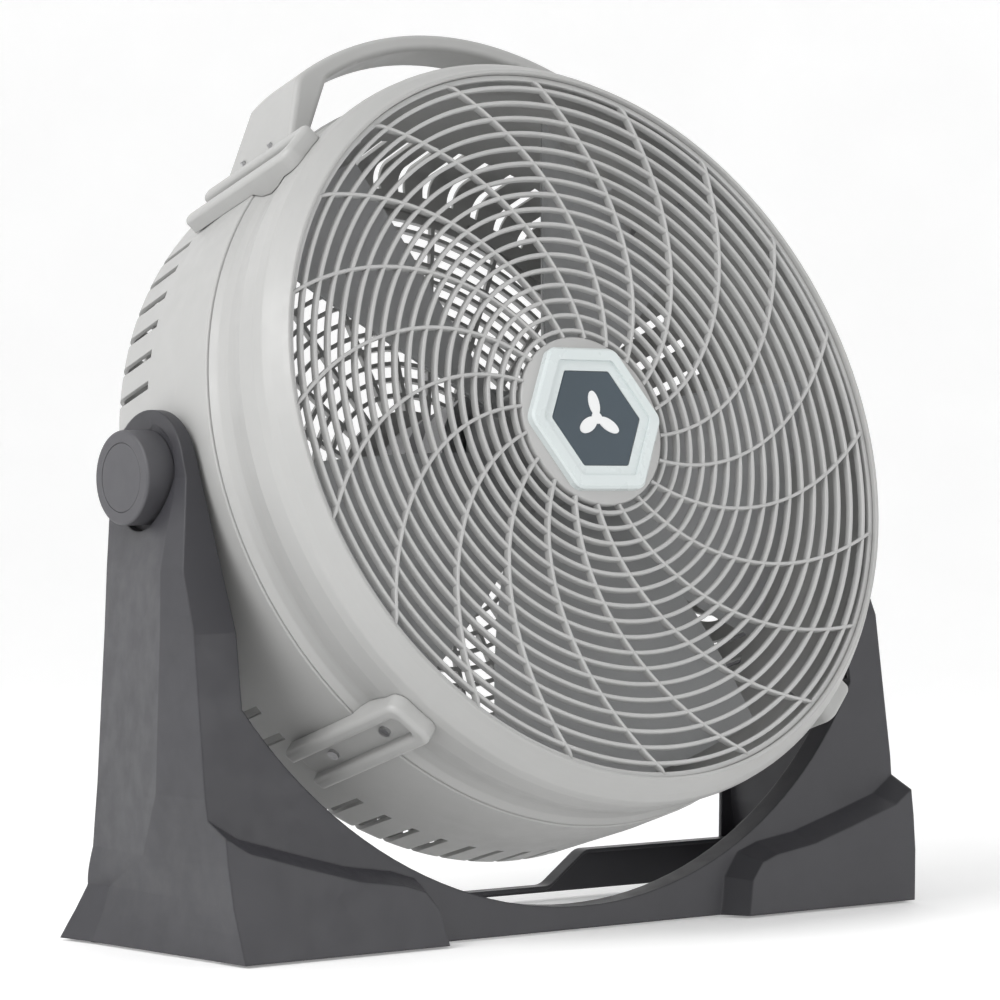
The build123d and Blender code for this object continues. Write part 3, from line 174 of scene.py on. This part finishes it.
def noise(tree, place, scale, detail=3.0, roughness=0.55):
    """A noise texture's value."""
    made = tree.nodes.new("ShaderNodeTexNoise")
    made.inputs["Scale"].default_value = scale
    made.inputs["Detail"].default_value = detail
    made.inputs["Roughness"].default_value = roughness
    tree.links.new(place, made.inputs["Vector"])
    return made.outputs["Fac"]


def ranged(tree, value, low, high, start=0.35, end=0.65):
    """A value from start to end, stretched to run from low to high."""
    made = tree.nodes.new("ShaderNodeMapRange")
    made.inputs["From Min"].default_value = start
    made.inputs["From Max"].default_value = end
    made.inputs["To Min"].default_value = low
    made.inputs["To Max"].default_value = high
    tree.links.new(value, made.inputs["Value"])
    return made.outputs["Result"]


def shades(tree, value, colours):
    """A colour that runs through the given ones as the value runs from 0 to 1."""
    made = tree.nodes.new("ShaderNodeValToRGB")
    ramp = made.color_ramp
    ramp.elements[0].color = (*colours[0], 1)
    ramp.elements[1].color = (*colours[-1], 1)
    for index, colour in enumerate(colours[1:-1], 1):
        ramp.elements.new(index / (len(colours) - 1)).color = (*colour, 1)
    tree.links.new(value, made.inputs["Fac"])
    return made.outputs["Color"]


def plastic(name, colour, roughness, grain, depth, mottle=0.05, coat=0.0, edge=0.0):
    """Moulded plastic: a fine grain, faint flow mottling, an uneven gloss and edges that catch the light."""
    material, tree, shader, place = node_material(name)
    flow = ranged(tree, noise(tree, place, 14.0, 4.0), 0.0, 1.0)
    darker = tuple(channel * (1 - mottle) for channel in colour)
    lighter = tuple(min(channel * (1 + mottle), 1.0) for channel in colour)
    tree.links.new(shades(tree, flow, (darker, colour, lighter)), shader.inputs["Base Color"])
    patches = ranged(tree, noise(tree, place, 60.0, 4.0), roughness - 0.05, roughness + 0.06)
    tree.links.new(patches, shader.inputs["Roughness"])
    bump = tree.nodes.new("ShaderNodeBump")
    bump.inputs["Strength"].default_value = 1.0
    bump.inputs["Distance"].default_value = depth
    tree.links.new(noise(tree, place, 1.0 / grain, 2.0, 0.6), bump.inputs["Height"])
    if edge > 0:
        softened = tree.nodes.new("ShaderNodeBevel")
        softened.samples = 6
        softened.inputs["Radius"].default_value = edge
        tree.links.new(softened.outputs["Normal"], bump.inputs["Normal"])
    tree.links.new(bump.outputs["Normal"], shader.inputs["Normal"])
    shader.inputs["IOR"].default_value = 1.48
    shader.inputs["Coat Weight"].default_value = coat
    shader.inputs["Coat Roughness"].default_value = 0.2
    return material


def metal(name, colour, roughness, grain=400.0, metallic=1.0):
    """Bare metal with fine machining marks and dull patches."""
    material, tree, shader, place = node_material(name)
    marks = noise(tree, place, grain, 4.0, 0.7)
    dull = tuple(channel * 0.8 for channel in colour)
    tree.links.new(shades(tree, ranged(tree, marks, 0.0, 1.0), (dull, colour)), shader.inputs["Base Color"])
    tree.links.new(ranged(tree, marks, roughness - 0.08, roughness + 0.1), shader.inputs["Roughness"])
    bump = tree.nodes.new("ShaderNodeBump")
    bump.inputs["Strength"].default_value = 0.6
    bump.inputs["Distance"].default_value = 0.05 * MM
    tree.links.new(marks, bump.inputs["Height"])
    tree.links.new(bump.outputs["Normal"], shader.inputs["Normal"])
    shader.inputs["Metallic"].default_value = metallic
    return material


FINISHES = {
    "housing_plastic": plastic(
        "housing_plastic", (0.4, 0.4, 0.393), 0.42, 0.9 * MM, 0.02 * MM, 0.02, edge=1.0 * MM
    ),
    "grille_plastic": plastic("grille_plastic", (0.43, 0.43, 0.425), 0.42, 0.9 * MM, 0.015 * MM, 0.03),
    "base_plastic": plastic(
        "base_plastic", (0.036, 0.0355, 0.041), 0.42, 0.7 * MM, 0.05 * MM, 0.06, edge=2.0 * MM
    ),
    "knob_plastic": plastic(
        "knob_plastic", (0.075, 0.0742, 0.081), 0.45, 0.7 * MM, 0.04 * MM, 0.05, edge=1.0 * MM
    ),
    "badge_border_plastic": plastic(
        "badge_border_plastic", (0.62, 0.67, 0.67), 0.3, 0.9 * MM, 0.01 * MM, 0.02, 0.2
    ),
    "badge_face_plastic": plastic(
        "badge_face_plastic", (0.035, 0.055, 0.072), 0.34, 0.9 * MM, 0.01 * MM, 0.05, 0.2
    ),
    "badge_mark_plastic": plastic("badge_mark_plastic", (0.78, 0.79, 0.79), 0.35, 0.9 * MM, 0.01 * MM, 0.02),
    "blade_plastic": plastic("blade_plastic", (0.36, 0.365, 0.37), 0.35, 0.9 * MM, 0.015 * MM, 0.04),
    "black_plastic": plastic("black_plastic", (0.03, 0.03, 0.032), 0.45, 0.8 * MM, 0.03 * MM, 0.08),
    "screw_steel": metal("screw_steel", (0.55, 0.55, 0.56), 0.35),
    "lamination_steel": metal("lamination_steel", (0.22, 0.22, 0.23), 0.5, 900.0),
    "winding_copper": metal("winding_copper", (0.55, 0.24, 0.1), 0.4, 900.0),
    "bell_aluminium": metal("bell_aluminium", (0.6, 0.6, 0.61), 0.45),
    "bearing_bronze": metal("bearing_bronze", (0.5, 0.36, 0.18), 0.45),
    "foot_rubber": plastic("foot_rubber", (0.03, 0.03, 0.03), 0.75, 1.2 * MM, 0.08 * MM, 0.1),
}

node_slots = {part["node"]: part["material_slot"] for part in frame["record"]["subparts"]}
for name, shown in nodes.items():
    finish = FINISHES[node_slots[name]]
    if not shown.data.materials:
        shown.data.materials.append(finish)
    for slot in shown.material_slots:
        slot.material = finish

# ---------------------------------------------------------------- front grille: rounded rings and spiral ribs
GRILLE_LOW, GRILLE_HIGH = head_span("front_grille")
RIM_RADIUS = GRILLE_HIGH.x
RIM_WIDTH = 3.8 * MM
HUB_RADIUS = 58.0 * MM
WEB_DEPTH = 5.0 * MM
RING_COUNT = 17
RING_FIRST = 63.0 * MM
RING_PITCH = 10.6 * MM
RING_WIDTH = 2.8 * MM
RIB_COUNT = 20
RIB_WIDTH = 2.3 * MM
RIB_FIRST = math.radians(8.6)
RIB_TWIST = math.radians(44.5)
RIB_STEPS = 48
RIB_AHEAD = 0.4 * MM         # the ribs stand this far ahead of the rings
RIB_REACH = 0.99             # the ribs stop at this share of the way to the rim
BAR_ROUNDING = 0.42          # corner radius of a bar, as a share of its width
RIM_ROUNDING = 0.8 * MM
RIM_SUNK = 2.4 * MM          # the rim's front lies this far below the ribs'
HUB_SKIN = 2.8 * MM
HUB_WALL = 3.0 * MM
HUB_BEVEL = 0.9 * MM
GRILLE_SHARP_DEGREES = 50.0
DISH_RISE = GRILLE_HIGH.z - GRILLE_LOW.z - WEB_DEPTH


def dish_rise(radius):
    """How far ahead of its hub the grille stands at that radius."""
    share = (radius**2 - HUB_RADIUS**2) / (RIM_RADIUS**2 - HUB_RADIUS**2)
    return DISH_RISE * max(share, 0.0)


def rib_path(first):
    """A spiral from the hub to the rim, as (across, up) points."""
    path = []
    for step in range(RIB_STEPS + 1):
        share = RIB_REACH * step / RIB_STEPS
        radius = HUB_RADIUS + (RIM_RADIUS - HUB_RADIUS) * share
        turn = first + RIB_TWIST * share
        path.append((radius * math.cos(turn), radius * math.sin(turn)))
    return path


web = bmesh.new()
ring_outline = rounded_bar(RING_WIDTH, WEB_DEPTH - RIB_AHEAD, BAR_ROUNDING * RING_WIDTH)
for index in range(RING_COUNT):
    radius = RING_FIRST + RING_PITCH * index
    add_ring(web, radius, ring_outline, GRILLE_LOW.z + dish_rise(radius))
rim_outline = rounded_bar(RIM_WIDTH, WEB_DEPTH - RIM_SUNK, RIM_ROUNDING)
add_ring(web, RIM_RADIUS - RIM_WIDTH / 2, rim_outline, GRILLE_LOW.z + DISH_RISE)
rib_outline = rounded_bar(RIB_WIDTH, WEB_DEPTH, BAR_ROUNDING * RIB_WIDTH)
for index in range(RIB_COUNT):
    path = rib_path(RIB_FIRST + math.tau * index / RIB_COUNT)
    before = len(web.verts)
    add_sweep(web, path, rib_outline, GRILLE_LOW.z)
    web.verts.ensure_lookup_table()
    for vertex in web.verts[before:]:
        radius = math.hypot(vertex.co.x, vertex.co.y)
        in_rim = radius >= RIM_RADIUS - RIM_WIDTH
        in_front = vertex.co.z > GRILLE_LOW.z + WEB_DEPTH / 2
        sunk = RIM_SUNK if in_rim and in_front else 0.0
        vertex.co.z += dish_rise(radius) - sunk
hub_top = GRILLE_LOW.z + WEB_DEPTH
add_lathe(web, [
    (0.0, hub_top - HUB_SKIN),
    (HUB_RADIUS - HUB_WALL, hub_top - HUB_SKIN),
    (HUB_RADIUS - HUB_WALL, GRILLE_LOW.z),
    (HUB_RADIUS, GRILLE_LOW.z),
    (HUB_RADIUS, hub_top - HUB_BEVEL),
    (HUB_RADIUS - HUB_BEVEL, hub_top),
    (0.0, hub_top),
])
piece(
    "front_grille_web",
    smooth_mesh("front_grille_web", web, HEAD, GRILLE_SHARP_DEGREES),
    "head",
    FINISHES["grille_plastic"],
    ["front_grille"],
)

# ---------------------------------------------------------------- floor, light and camera
WHITE = (1.0, 1.0, 1.0, 1)
WORLD_STRENGTH = 0.5
CAMERA_PLACE = Vector((-1.5526, -1.8975, 0.2876))
FLOOR_GLOW = 0.26
FLOOR_RADIUS = 6.0
WALL_RADIUS = 3.0
WALL_HEIGHT = 5.0
FLOOR_ROUNDS = (0.0, 0.5, 1.5, 3.0, 4.5, FLOOR_RADIUS)
COVE_STEPS = 12
SWEEP_STEPS = 96

dish = bmesh.new()
profile = [(radius, 0.0) for radius in FLOOR_ROUNDS]
for step in range(1, COVE_STEPS + 1):
    turn = math.pi / 2 * step / COVE_STEPS
    profile.append((
        FLOOR_RADIUS + WALL_RADIUS * math.sin(turn),
        WALL_RADIUS * (1 - math.cos(turn)),
    ))
profile.append((FLOOR_RADIUS + WALL_RADIUS, WALL_RADIUS + WALL_HEIGHT))
centre = dish.verts.new((0, 0, 0))
rounds = [
    [
        dish.verts.new((
            radius * math.cos(math.tau * step / SWEEP_STEPS),
            radius * math.sin(math.tau * step / SWEEP_STEPS),
            height,
        ))
        for step in range(SWEEP_STEPS)
    ]
    for radius, height in profile[1:]
]
for step in range(SWEEP_STEPS):
    dish.faces.new((centre, rounds[0][step], rounds[0][(step + 1) % SWEEP_STEPS]))
    for inner, outer in zip(rounds, rounds[1:]):
        dish.faces.new((
            inner[step], outer[step], outer[(step + 1) % SWEEP_STEPS], inner[(step + 1) % SWEEP_STEPS],
        ))
floor = bpy.data.objects.new("studio_floor", smooth_mesh("studio_floor", dish))
bpy.context.scene.collection.objects.link(floor)
floor_material, floor_tree, floor_shader, floor_place = node_material("pale_floor")
floor_shade = ranged(floor_tree, noise(floor_tree, floor_place, 3.0), 0.0, 1.0)
floor_tree.links.new(
    shades(floor_tree, floor_shade, ((0.88, 0.88, 0.88), (0.9, 0.9, 0.9))),
    floor_shader.inputs["Base Color"],
)
floor_shader.inputs["Roughness"].default_value = 0.6
floor_shader.inputs["Emission Color"].default_value = WHITE
floor_shader.inputs["Emission Strength"].default_value = FLOOR_GLOW
floor.data.materials.append(floor_material)

world = bpy.data.worlds.new("studio")
world.use_nodes = True
world.node_tree.nodes["Background"].inputs["Color"].default_value = WHITE
world.node_tree.nodes["Background"].inputs["Strength"].default_value = WORLD_STRENGTH
bpy.context.scene.world = world
bpy.context.scene.view_settings.view_transform = "Standard"
bpy.context.scene.view_settings.look = "None"


def softbox(name, place, target, width, height, power):
    """A soft rectangular lamp that isn't seen itself."""
    lamp = bpy.data.lights.new(name, "AREA")
    lamp.shape = "RECTANGLE"
    lamp.size = width
    lamp.size_y = height
    lamp.energy = power
    made = bpy.data.objects.new(name, lamp)
    made.location = place
    made.rotation_euler = (Vector(target) - Vector(place)).to_track_quat("-Z", "Y").to_euler()
    made.visible_camera = False
    bpy.context.scene.collection.objects.link(made)


softbox("key_light", (-2.6, -0.2, 2.4), PIVOT, 1.8, 1.8, 70.0)
softbox("fill_light", (1.2, -2.8, 0.9), PIVOT, 1.6, 1.2, 9.0)

camera_data = bpy.data.cameras.new("camera")
camera_data.lens = 131.4
camera_data.sensor_width = 36.0
camera_data.shift_x = 0.0196
camera_data.shift_y = -0.0213
camera_data.clip_end = 60.0
camera = bpy.data.objects.new("camera", camera_data)
camera.location = CAMERA_PLACE
camera.rotation_euler = (PIVOT - CAMERA_PLACE).to_track_quat("-Z", "Y").to_euler()
bpy.context.scene.collection.objects.link(camera)
bpy.context.scene.camera = camera
